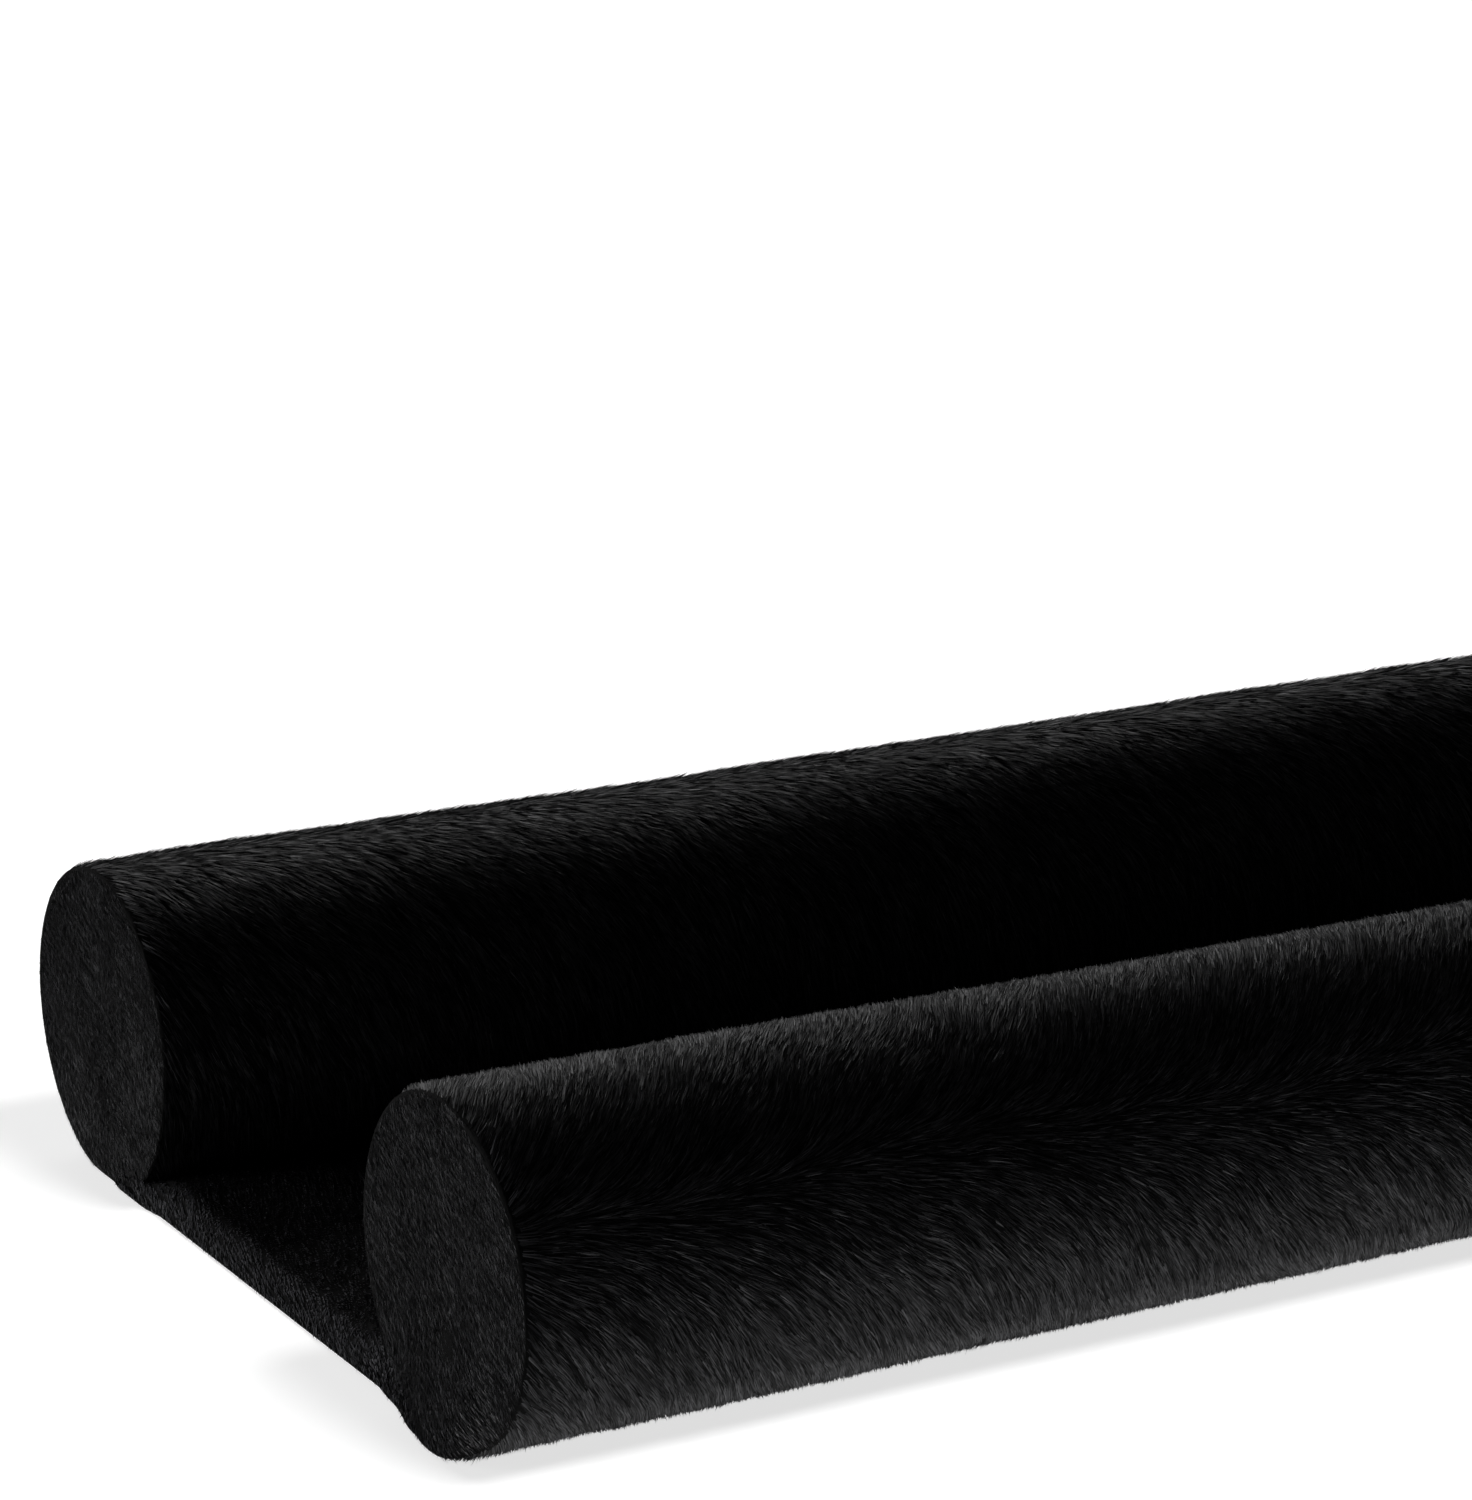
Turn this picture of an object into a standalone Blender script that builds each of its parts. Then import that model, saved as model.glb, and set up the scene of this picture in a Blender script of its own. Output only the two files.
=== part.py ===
"""Draught excluder for the foot of a door, in black plush.

A filled roll lies on each side of the door, and a flat web of doubled cloth joins the two under
it. Each roll is closed by a round cloth panel at both ends.

Metres. +X runs along the rolls, +Y goes from the front roll to the back roll, +Z is up. The
origin is on the floor, under the middle of the web.
"""
import math

import bmesh
import bpy

# Driving dimensions
LENGTH = 0.900            # over the end panels
ROLL_DIAMETER = 0.041     # over the pile
DOOR_GAP = 0.057          # clear space between the two rolls
FLOOR_FLAT = 0.00035      # how far each roll is pressed flat where it lies on the floor
GAP = 0.0003              # left between two pieces that touch

# The filling settles low and towards the web, where it fills a roll out beyond its round
FULLNESS = 0.0007
FULLNESS_AT = -112.0      # degrees from the outer side, up over the top
FULLNESS_REACH = 55.0

# The sleeve of a roll, near its ends
SHOULDER_LENGTH = 0.0032  # over which the sleeve is drawn in towards the seam
SHOULDER_DEPTH = 0.0011   # by which it is drawn in at the seam
ROLL_STATION_PITCH = 0.030
ROLL_SIDES = 36

# The round end panels
PANEL_THICKNESS = 0.0026  # at the rim
PANEL_CROWN = 0.0008      # by which the filling pushes the middle out
PANEL_RIM_ROUND = 0.0009

# The web under the door
WEB_THICKNESS = 0.0042    # two layers of plush, pile on both sides
WEB_LEVEL_HALF = 0.012    # half the width of the level middle, under the door
WEB_RIDGE_HEIGHT = 0.0012
WEB_RIDGE_HALF = 0.009
WEB_CREASE_DROP = 0.0010  # from the level middle down to the crease beside a roll
WEB_HEM_HALF = 0.0400     # to the hem, tucked under the roll
WEB_CLEARANCE = 0.00045   # from the round of a roll, so that flat facets stay a gap apart
WEB_END_ROUND = 0.0016
WEB_COLUMNS = 20

# Worked out
ROLL_RADIUS = ROLL_DIAMETER / 2
ROLL_OFFSET = DOOR_GAP / 2 + ROLL_RADIUS
AXIS_HEIGHT = ROLL_RADIUS - FLOOR_FLAT
PANEL_DEPTH = PANEL_THICKNESS + PANEL_CROWN
SLEEVE_HALF = LENGTH / 2 - PANEL_DEPTH - GAP

PLUSH_BLACK = (0.010, 0.010, 0.011, 1.0)

# Soft hollows in the rolls. along: metres from the middle. around: degrees from the outer side,
# up over the top. The two reaches say how far a hollow spreads each way, depth how deep it is.
ALONG, AROUND, REACH_ALONG, REACH_AROUND, DEPTH = range(5)
FRONT_HOLLOWS = (
    (-0.405, 75.0, 0.035, 45.0, 0.0005),
    (-0.290, 10.0, 0.070, 60.0, 0.0006),
    (-0.130, 95.0, 0.090, 50.0, 0.0008),
    (0.040, -15.0, 0.060, 45.0, 0.0007),
    (0.190, 70.0, 0.080, 55.0, 0.0009),
    (0.340, 20.0, 0.060, 50.0, 0.0007),
)
BACK_HOLLOWS = (
    (-0.370, 105.0, 0.050, 50.0, 0.0007),
    (-0.210, 25.0, 0.080, 55.0, 0.0008),
    (-0.030, 80.0, 0.070, 45.0, 0.0007),
    (0.150, -10.0, 0.060, 50.0, 0.0006),
    (0.290, 90.0, 0.090, 55.0, 0.0009),
    (0.410, 40.0, 0.030, 45.0, 0.0005),
)

# Soft hollows in an end panel, as shares of its radius. out points away from the door, up is up.
OUT, UP, REACH, SINK = range(4)
PANEL_HOLLOWS = (
    (0.30, -0.05, 0.42, 0.0009),
    (-0.35, 0.35, 0.36, 0.0006),
    (-0.15, -0.55, 0.34, 0.0007),
    (0.25, 0.62, 0.30, 0.0005),
)

# Places where the web's ridge sinks in: along, side (-1 front, 1 back), reach, share of its height
WHERE, SIDE, SPREAD, SHARE = range(4)
RIDGE_DIPS = (
    (-0.335, -1, 0.045, 0.6),
    (-0.090, -1, 0.070, 0.4),
    (0.160, -1, 0.050, 0.7),
    (0.330, -1, 0.060, 0.5),
    (-0.385, 1, 0.040, 0.5),
    (-0.180, 1, 0.060, 0.7),
    (0.060, 1, 0.050, 0.4),
    (0.260, 1, 0.070, 0.6),
)


def bump(distance):
    """1 at no distance, easing to 0 at a distance of 1 and beyond."""
    return 0.5 + 0.5 * math.cos(math.pi * min(abs(distance), 1.0))


def clear_scene():
    for thing in list(bpy.data.objects):
        bpy.data.objects.remove(thing, do_unlink=True)


def new_collection(name):
    collection = bpy.data.collections.new(name)
    bpy.context.scene.collection.children.link(collection)
    return collection


def plush(name):
    """Black short-pile plush: a matt cloth with a soft sheen."""
    material = bpy.data.materials.new(name)
    material.use_nodes = True
    shader = material.node_tree.nodes["Principled BSDF"]
    shader.inputs["Base Color"].default_value = PLUSH_BLACK
    shader.inputs["Roughness"].default_value = 0.95
    shader.inputs["Metallic"].default_value = 0.0
    shader.inputs["Sheen Weight"].default_value = 0.6
    return material


def turned(name, profile, collection):
    """A closed solid of revolution about X, from a profile of (x, radius) that starts and ends on X."""
    mesh = bpy.data.meshes.new(name)
    edges = [(i, i + 1) for i in range(len(profile) - 1)]
    mesh.from_pydata([(x, 0.0, radius) for x, radius in profile], edges, [])
    piece = bpy.data.objects.new(name, mesh)
    collection.objects.link(piece)
    screw = piece.modifiers.new("Turn", "SCREW")
    screw.axis = "X"
    screw.angle = math.tau
    screw.steps = ROLL_SIDES
    screw.render_steps = ROLL_SIDES
    screw.use_merge_vertices = True
    screw.merge_threshold = 0.0001
    made_mesh(piece)
    return piece


def made_mesh(piece):
    """Replaces a piece's mesh by the one that its modifiers give, so that its points can be moved."""
    graph = bpy.context.evaluated_depsgraph_get()
    mesh = bpy.data.meshes.new_from_object(piece.evaluated_get(graph))
    piece.modifiers.clear()
    old = piece.data
    piece.data = mesh
    bpy.data.meshes.remove(old)
    mesh.name = piece.name


def reshape(piece, place):
    """Moves each point of a piece's mesh to place(point), and turns the faces outwards."""
    work = bmesh.new()
    work.from_mesh(piece.data)
    for vertex in work.verts:
        vertex.co = place(vertex.co)
    bmesh.ops.dissolve_degenerate(work, dist=0.00001, edges=work.edges)
    bmesh.ops.recalc_face_normals(work, faces=work.faces)
    work.to_mesh(piece.data)
    work.free()


def finish(piece, material):
    piece.data.materials.clear()
    piece.data.materials.append(material)
    piece.data.shade_smooth()
    piece.data.set_sharp_from_angle(angle=math.radians(50))


def sleeve_profile():
    """Profile of a filled sleeve: straight, and drawn in over a rounded shoulder at each end."""
    shoulder = []
    for share in (1.0, 0.72, 0.42, 0.16, 0.0):
        drawn_in = SHOULDER_DEPTH * share ** 2
        shoulder.append((SLEEVE_HALF - SHOULDER_LENGTH * (1 - share), ROLL_RADIUS - drawn_in))
    shoulder.reverse()
    straight = shoulder[0][0]
    steps = round(2 * straight / ROLL_STATION_PITCH)
    middle = [(-straight + 2 * straight * i / steps, ROLL_RADIUS) for i in range(1, steps)]
    left = [(-x, radius) for x, radius in reversed(shoulder)]
    return [(-SLEEVE_HALF, 0.0), *left, *middle, *shoulder, (SLEEVE_HALF, 0.0)]


def turn_between(around, other):
    """The shorter way round from one direction to another, in degrees."""
    return (around - other + 180.0) % 360.0 - 180.0


def hollow_depth(along, around, hollows):
    """How deep the hollows of a roll are at a place along it and around it."""
    total = 0.0
    for hollow in hollows:
        total += (
            hollow[DEPTH]
            * bump((along - hollow[ALONG]) / hollow[REACH_ALONG])
            * bump(turn_between(around, hollow[AROUND]) / hollow[REACH_AROUND])
        )
    return total


def filled_out(around):
    """By how much the settled filling fills a roll out beyond its round, at a place around it."""
    return FULLNESS * bump(turn_between(around, FULLNESS_AT) / FULLNESS_REACH)


def set_on_floor(height):
    """A roll's underside is pressed flat by its own weight."""
    return max(height, 0.0)


def make_roll(name, side, hollows, collection, material):
    """One filled roll. side is -1 for the front roll, 1 for the back one."""
    roll = turned(name, sleeve_profile(), collection)

    def place(point):
        radius = math.hypot(point.y, point.z)
        around = math.degrees(math.atan2(point.z, point.y))
        if radius > 0.5 * ROLL_RADIUS:
            radius += filled_out(around) - hollow_depth(point.x, around, hollows)
        out = radius * math.cos(math.radians(around))
        up = radius * math.sin(math.radians(around))
        return (point.x, side * (ROLL_OFFSET + out), set_on_floor(AXIS_HEIGHT + up))

    reshape(roll, place)
    finish(roll, material)
    return roll


def panel_profile():
    """Profile of an end panel: flat inside, a rounded rim, and a crowned outside."""
    inner = SLEEVE_HALF + GAP
    rings = (0.34, 0.62, 0.84)
    profile = [(inner, 0.0)]
    profile += [(inner, ROLL_RADIUS * share) for share in rings[:2]]
    profile += [
        (inner, ROLL_RADIUS - PANEL_RIM_ROUND),
        (inner + PANEL_RIM_ROUND, ROLL_RADIUS),
        (inner + PANEL_THICKNESS - PANEL_RIM_ROUND, ROLL_RADIUS),
        (inner + PANEL_THICKNESS, ROLL_RADIUS - PANEL_RIM_ROUND),
    ]
    for share in reversed(rings):
        crown = PANEL_CROWN * (1 - share ** 2) ** 0.5
        profile.append((inner + PANEL_THICKNESS + crown, ROLL_RADIUS * share))
    profile.append((inner + PANEL_DEPTH, 0.0))
    return profile


def panel_sink(out, up):
    """How deep the hollows of an end panel are, at a place given as shares of its radius."""
    return sum(
        hollow[SINK] * bump(math.hypot(out - hollow[OUT], up - hollow[UP]) / hollow[REACH])
        for hollow in PANEL_HOLLOWS
    )


def make_end_panel(name, side, end, collection, material):
    """The round cloth panel that closes a roll. end is -1 for the left end, 1 for the right."""
    panel = turned(name, panel_profile(), collection)
    outside = SLEEVE_HALF + GAP + PANEL_THICKNESS / 2

    def place(point):
        along = point.x
        if along > outside:
            along -= panel_sink(point.y / ROLL_RADIUS, point.z / ROLL_RADIUS)
        around = math.degrees(math.atan2(point.z, point.y))
        fuller = 1 + filled_out(around) / ROLL_RADIUS
        out, up = fuller * point.y, fuller * point.z
        return (end * along, side * (ROLL_OFFSET + out), set_on_floor(AXIS_HEIGHT + up))

    reshape(panel, place)
    finish(panel, material)
    return panel


def ridge_line(along):
    """Distance of the web's ridges from the middle: closer to the rolls at the two ends."""
    from_end = LENGTH / 2 - abs(along)
    return 0.0260 + 0.0045 * bump(from_end / 0.030)


def web_top(along, across):
    """Height of the web's upper side, worked out from the place across it."""
    side = -1 if across < 0 else 1
    share = 1.0
    for dip in RIDGE_DIPS:
        if dip[SIDE] == side:
            share -= dip[SHARE] * bump((along - dip[WHERE]) / dip[SPREAD])
    ridge = WEB_RIDGE_HEIGHT * share * bump((abs(across) - ridge_line(along)) / WEB_RIDGE_HALF)
    if abs(across) <= WEB_LEVEL_HALF:
        ridge = 0.0
    crease = WEB_CREASE_DROP * bump((abs(across) - web_half(WEB_THICKNESS)) / 0.005)
    return WEB_THICKNESS + ridge - crease


def web_half(height):
    """Half the web's width at a height, where it lies against the round of the two rolls."""
    reach = ROLL_RADIUS + FULLNESS + WEB_CLEARANCE
    beside = math.sqrt(reach ** 2 - (AXIS_HEIGHT - height) ** 2)
    return min(WEB_HEM_HALF, ROLL_OFFSET - beside)


def web_stations():
    """Places along the web at which it has a row of points: close together near its ends."""
    from_end = [0.0, 0.003, 0.007, 0.012, 0.018, 0.026, 0.040]
    ends = [LENGTH / 2 - distance for distance in from_end]
    inner = ends[-1]
    steps = round(2 * inner / ROLL_STATION_PITCH)
    middle = [-inner + 2 * inner * i / steps for i in range(1, steps)]
    return [-place for place in ends] + middle + list(reversed(ends))


def make_web(name, collection, material):
    """The flat web of doubled cloth: soft long edges under the rolls, and rounded short ends."""
    bpy.ops.mesh.primitive_cube_add(size=1.0)
    web = bpy.context.object
    web.name = name
    web.data.name = name
    for holder in list(web.users_collection):
        holder.objects.unlink(web)
    collection.objects.link(web)
    work = bmesh.new()
    work.from_mesh(web.data)
    half = LENGTH / 2
    cuts = [((place / LENGTH, 0, 0), (1, 0, 0)) for place in web_stations() if abs(place) < half]
    cuts += [((0, i / WEB_COLUMNS - 0.5, 0), (0, 1, 0)) for i in range(1, WEB_COLUMNS)]
    cuts += [((0, 0, level - 0.5), (0, 0, 1)) for level in (0.17, 0.5, 0.83)]
    for point, normal in cuts:
        everything = work.verts[:] + work.edges[:] + work.faces[:]
        bmesh.ops.bisect_plane(work, geom=everything, plane_co=point, plane_no=normal)
    work.to_mesh(web.data)
    work.free()
    top_half = web_half(WEB_THICKNESS)

    def place(point):
        along = point.x * LENGTH
        level = point.z + 0.5
        if half - abs(along) < 0.0001:
            pulled = WEB_END_ROUND * (1 - math.sqrt(1 - (2 * level - 1) ** 2))
            along -= math.copysign(pulled, along)
        height = level * web_top(along, 2 * point.y * top_half)
        return (along, 2 * point.y * web_half(height), height)

    reshape(web, place)
    finish(web, material)
    return web


def main():
    clear_scene()
    pieces = new_collection("draught_excluder")
    black = plush("black_plush")
    make_roll("front_roll", -1, FRONT_HOLLOWS, pieces, black)
    make_roll("back_roll", 1, BACK_HOLLOWS, pieces, black)
    make_web("web", pieces, black)
    for side, side_name in ((-1, "front"), (1, "back")):
        for end, end_name in ((-1, "left"), (1, "right")):
            make_end_panel(f"end_panel_{side_name}_{end_name}", side, end, pieces, black)


main()
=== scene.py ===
"""The looks of a black plush draught excluder for the foot of a door.

Two filled rolls and the flat web that joins them are covered in short combed pile, made as
single narrow leaves that grow from a soft cloth surface. Metres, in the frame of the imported
model: +X along the rolls, +Y from the front roll to the back roll, +Z up from the floor.
"""
import math

import bmesh
import bpy
import numpy as np
from bpy.props import FloatProperty, FloatVectorProperty, IntProperty, PointerProperty
from mathutils import Euler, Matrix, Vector
from mathutils.bvhtree import BVHTree


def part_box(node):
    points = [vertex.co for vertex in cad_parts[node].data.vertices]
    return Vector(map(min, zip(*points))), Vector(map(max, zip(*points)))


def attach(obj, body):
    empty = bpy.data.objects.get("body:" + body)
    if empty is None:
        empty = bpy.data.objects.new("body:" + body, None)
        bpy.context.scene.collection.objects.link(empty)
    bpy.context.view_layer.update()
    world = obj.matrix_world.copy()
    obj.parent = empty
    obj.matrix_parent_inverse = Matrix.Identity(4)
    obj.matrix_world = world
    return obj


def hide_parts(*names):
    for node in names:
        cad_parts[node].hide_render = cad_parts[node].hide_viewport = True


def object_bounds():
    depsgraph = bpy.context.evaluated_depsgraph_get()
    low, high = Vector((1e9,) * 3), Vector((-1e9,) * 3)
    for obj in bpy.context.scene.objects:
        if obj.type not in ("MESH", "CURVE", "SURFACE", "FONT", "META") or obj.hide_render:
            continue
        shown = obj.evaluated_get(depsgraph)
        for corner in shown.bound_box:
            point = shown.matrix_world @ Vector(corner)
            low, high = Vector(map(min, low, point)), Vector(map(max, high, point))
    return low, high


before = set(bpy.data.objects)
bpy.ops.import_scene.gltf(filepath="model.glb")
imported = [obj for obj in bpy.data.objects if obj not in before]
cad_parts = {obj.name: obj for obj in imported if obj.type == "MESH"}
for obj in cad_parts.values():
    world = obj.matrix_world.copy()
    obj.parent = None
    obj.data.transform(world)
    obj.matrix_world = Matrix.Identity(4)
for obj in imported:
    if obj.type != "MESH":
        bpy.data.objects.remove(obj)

bl_info = {
    "name": "Plush draught excluder",
    "version": (1, 0, 0),
    "blender": (4, 5, 0),
    "location": "3D View > Sidebar > Excluder",
    "description": "Covers a twin draught excluder's rolls and web in combed black plush",
    "category": "Add Mesh",
}

MM = 0.001

# How far above the floor the lowest cloth and the lowest pile stay
CLOTH_CLEARANCE = 0.05 * MM
LEAF_CLEARANCE = 0.02 * MM

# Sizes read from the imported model
CAD_LOW, CAD_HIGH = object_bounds()
HALF_LENGTH = (CAD_HIGH[0] - CAD_LOW[0]) / 2
ROLL_LOW, ROLL_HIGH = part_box("front_roll")
ROLL_RADIUS = (ROLL_HIGH[1] - ROLL_LOW[1]) / 2
ROLL_OFFSET = -(ROLL_HIGH[1] + ROLL_LOW[1]) / 2
AXIS_HEIGHT = ROLL_HIGH[2] - ROLL_RADIUS
SLEEVE_HALF = (ROLL_HIGH[0] - ROLL_LOW[0]) / 2
LEFT, RIGHT = -1, 1
FRONT, BACK = -1, 1

# The camera that saw the photograph: its place, where it points, and its focal length
CAMERA_PLACE = (-0.6872, -0.5386, 0.2318)
CAMERA_TURN = 60.67       # degrees from +X towards +Y
CAMERA_DIP = 15.58        # degrees below level
CAMERA_LENS = 125.3       # mm on a 36 mm long side

# How the nap of a roll is combed. around: degrees from the outer side, up over the top. lean:
# degrees from +X, turning the same way up. It parts along a line low on the outer side.
ROLL_NAP = (
    # around, lean
    (-100.0, -70.0),
    (-52.0, -65.0),
    (-19.0, -56.0),
    (-6.0, -50.0),
    (7.0, -41.0),
    (18.0, -27.0),
    (30.0, -8.0),
    (38.0, 28.0),
    (48.0, 43.0),
    (60.0, 50.0),
    (90.0, 57.0),
    (140.0, 66.0),
    (200.0, 76.0),
    (270.0, 80.0),
)

# The nap of the flat pieces is combed towards the front, and a little down on upright faces
PANEL_NAP = Vector((0.0, -0.92, -0.38))
WEB_NAP = Vector((-0.30, -0.85, -0.45))


def linear(hex_colour):
    """A colour written as sRGB hex, as the linear numbers that a shader takes."""
    channels = [int(hex_colour[i:i + 2], 16) / 255 for i in (1, 3, 5)]
    return tuple(c / 12.92 if c <= 0.04045 else ((c + 0.055) / 1.055) ** 2.4 for c in channels)


def add_node(tree, kind, settings=None, inputs=None):
    """Adds a node, sets its settings, and gives each named input a value or a link."""
    node = tree.nodes.new(kind)
    for name, value in (settings or {}).items():
        setattr(node, name, value)
    for name, value in (inputs or {}).items():
        if isinstance(value, bpy.types.NodeSocket):
            tree.links.new(value, node.inputs[name])
        else:
            node.inputs[name].default_value = value
    return node


def new_material(name):
    """An empty material with its output node."""
    material = bpy.data.materials.new(name)
    material.use_nodes = True
    tree = material.node_tree
    tree.nodes.clear()
    output = tree.nodes.new("ShaderNodeOutputMaterial")
    return material, tree, output


class PlushSettings(bpy.types.PropertyGroup):
    """How the plush is made."""
    pile_length: FloatProperty(
        name="Pile length", description="From the ground cloth to the tip",
        default=2.4 * MM, unit="LENGTH", precision=5)
    leaf_width: FloatProperty(
        name="Leaf width", description="Width of one leaf of pile at its root",
        default=0.20 * MM, unit="LENGTH", precision=5)
    lock_leaves: IntProperty(
        name="Leaves in a lock", description="Leaves that lie one behind the other in a line",
        default=4)
    lock_step: FloatProperty(
        name="Lock step", description="From one root to the next in a lock, in leaf lengths",
        default=0.5)
    lift: FloatProperty(
        name="Lift", description="How steeply the pile stands off the cloth",
        default=math.radians(10.0), subtype="ANGLE")
    near_density: FloatProperty(
        name="Density near the left end", description="Leaves to a square millimetre there",
        default=12.0)
    turned_density: FloatProperty(
        name="Density round the back", description="Leaves to a square millimetre on the far side",
        default=3.6)
    far_density: FloatProperty(
        name="Density elsewhere", description="Leaves to a square millimetre, each one wider",
        default=1.6)
    ground_colour: FloatVectorProperty(
        name="Ground cloth", description="Colour at the roots of the pile",
        default=linear("#0b0b0c"), subtype="COLOR")
    pile_colour: FloatVectorProperty(
        name="Pile", description="Colour of the pile",
        default=linear("#080808"), subtype="COLOR")
    worn_colour: FloatVectorProperty(
        name="Pile, paler", description="Colour of the palest leaves of pile",
        default=linear("#5a5a5f"), subtype="COLOR")


class RollSettings(bpy.types.PropertyGroup):
    """How the soft surfaces are laid out."""
    columns: IntProperty(
        name="Columns", description="Points round a roll", default=64)
    pitch: FloatProperty(
        name="Row pitch", description="Distance between rows of points along a roll",
        default=8.0 * MM, unit="LENGTH", precision=5)
    under_pile: FloatProperty(
        name="Under the pile", description="From the outside of the pile in to the ground cloth",
        default=0.30 * MM, unit="LENGTH", precision=5)
    under_web: FloatProperty(
        name="Under the web's pile", description="From the outside of the pile in, on the web",
        default=0.30 * MM, unit="LENGTH", precision=5)
    under_panel: FloatProperty(
        name="Under the panels' pile", description="From the outside of the pile in, on a panel",
        default=0.20 * MM, unit="LENGTH", precision=5)
    web_nose: FloatProperty(
        name="Web's nose", description="How far in the web's short ends are rounded over",
        default=2.6 * MM, unit="LENGTH", precision=5)
    web_columns: IntProperty(
        name="Web columns", description="Points across the web", default=61)
    tuck: FloatProperty(
        name="Tuck", description="From the end panel's face to the end of the roll's sleeve",
        default=0.5 * MM, unit="LENGTH", precision=5)
    swell: FloatProperty(
        name="Swell", description="How much thicker the rolls are at their ends",
        default=0.3 * MM, unit="LENGTH", precision=5)
    lumps: FloatProperty(
        name="Lumps", description="Height of the soft lumps that the filling makes",
        default=0.12 * MM, unit="LENGTH", precision=5)
    dents: FloatProperty(
        name="Dents", description="How deep the soft dents in the end panels are",
        default=0.20 * MM, unit="LENGTH", precision=5)
    flare: FloatProperty(
        name="Flare", description="How far the foot of the front roll's left end kicks out",
        default=3.0 * MM, unit="LENGTH", precision=5)


class StageSettings(bpy.types.PropertyGroup):
    """The plain studio round the object."""
    floor_colour: FloatVectorProperty(
        name="Floor", description="Colour of the floor", default=linear("#b4b4b4"), subtype="COLOR")
    floor_glow: FloatProperty(
        name="Floor glow", description="Light that comes up through the floor", default=0.72)
    backdrop_colour: FloatVectorProperty(
        name="Backdrop", description="Colour of the backdrop", default=linear("#f7f7f7"),
        subtype="COLOR")
    key_power: FloatProperty(
        name="Key light", description="Power of the soft light behind", default=9.6, unit="POWER")
    side_power: FloatProperty(
        name="Side light", description="Power of the soft light at the left", default=10.5,
        unit="POWER")
    top_power: FloatProperty(
        name="Top light", description="Power of the light above, which falls on the floor only",
        default=165.0, unit="POWER")
    bounce_power: FloatProperty(
        name="Bounce", description="Power of the light that the floor gives back", default=0.18,
        unit="POWER")
    foot_power: FloatProperty(
        name="Foot bounce", description="Power of the light off the floor close to the rolls",
        default=0.026, unit="POWER")
    fill_strength: FloatProperty(
        name="Fill", description="Strength of the even light from all round", default=0.02)


# Soft surfaces as grids of points

class Surface:
    """A cloth face as a grid of points: rows along it, columns across or round it.

    along and around are the distances, in metres, at which its rows and columns lie when the
    cloth is spread out flat.
    """

    def __init__(self, points, along, around):
        self.points = points
        self.along = along
        self.around = around
        self.row_way = np.gradient(points, axis=0)
        self.column_way = np.gradient(points, axis=1)
        self.closed = np.allclose(points[:, 0], points[:, -1])
        if self.closed:
            turn = points[:, 1] - points[:, -2]
            self.column_way[:, 0] = turn / 2
            self.column_way[:, -1] = turn / 2
        self.normals = unit(np.cross(self.row_way, self.column_way))

    def cells(self):
        """The area of each cell of the grid."""
        p = self.points
        across = p[1:, 1:] - p[:-1, :-1]
        other = p[1:, :-1] - p[:-1, 1:]
        return np.linalg.norm(np.cross(across, other), axis=2) / 2

    def spots(self, density, seed):
        """Places spread evenly by density: rows and columns as fractions of the grid."""
        wanted = self.cells() * density
        edges = np.concatenate([[0.0], np.cumsum(wanted.ravel())])
        count = int(edges[-1])
        dice = np.random.default_rng(seed)
        marks = (np.arange(count) + dice.random(count)) * edges[-1] / count
        cell = np.searchsorted(edges, marks, side="right") - 1
        cell = np.clip(cell, 0, wanted.size - 1)
        row, column = np.divmod(cell, wanted.shape[1])
        return row + dice.random(count), column + dice.random(count), density[row, column]

    def moved(self, rows, columns, steps):
        """The same places after short steps over the cloth, turned back at its edges."""
        last_row, last_column = self.points.shape[0] - 1, self.points.shape[1] - 1
        row_way = self.read(self.row_way, rows, columns)
        column_way = self.read(self.column_way, rows, columns)
        rows = rows + (steps * row_way).sum(axis=1) / (row_way ** 2).sum(axis=1)
        columns = columns + (steps * column_way).sum(axis=1) / (column_way ** 2).sum(axis=1)
        rows = np.clip(last_row - np.abs(last_row - np.abs(rows)), 0.0, last_row)
        if self.closed:
            columns = columns % last_column
        else:
            columns = last_column - np.abs(last_column - np.abs(columns))
        return rows, np.clip(columns, 0.0, last_column)

    def read(self, values, rows, columns):
        """Values of the grid's points, read between them."""
        i = np.minimum(rows.astype(int), values.shape[0] - 2)
        j = np.minimum(columns.astype(int), values.shape[1] - 2)
        a, b = rows - i, columns - j
        if values.ndim == 3:
            a, b = a[:, None], b[:, None]
        low = values[i, j] * (1 - b) + values[i, j + 1] * b
        high = values[i + 1, j] * (1 - b) + values[i + 1, j + 1] * b
        return low * (1 - a) + high * a


def unit(vectors):
    """Vectors scaled to a length of 1."""
    return vectors / np.maximum(np.linalg.norm(vectors, axis=-1, keepdims=True), 1e-12)


def drift(places, wavelength, seed):
    """A smooth uneven field, mostly from -1 to 1, at some places: a few crossing waves."""
    dice = np.random.default_rng(seed)
    total = 0.0
    for _ in range(7):
        way = unit(dice.standard_normal(3))
        stretch = wavelength * (0.6 + 0.7 * dice.random())
        total = total + np.sin(math.tau * (places @ way / stretch + dice.random()))
    return total / 3.5


def eased(value, start, end):
    """0 before start, 1 after end, eased between them."""
    share = np.clip((value - start) / (end - start), 0.0, 1.0)
    return share * share * (3 - 2 * share)


def solid_tree(node):
    """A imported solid's faces, to find its surface with rays."""
    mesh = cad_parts[node].data
    corners = [vertex.co.copy() for vertex in mesh.vertices]
    return BVHTree.FromPolygons(corners, [tuple(face.vertices) for face in mesh.polygons])


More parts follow.
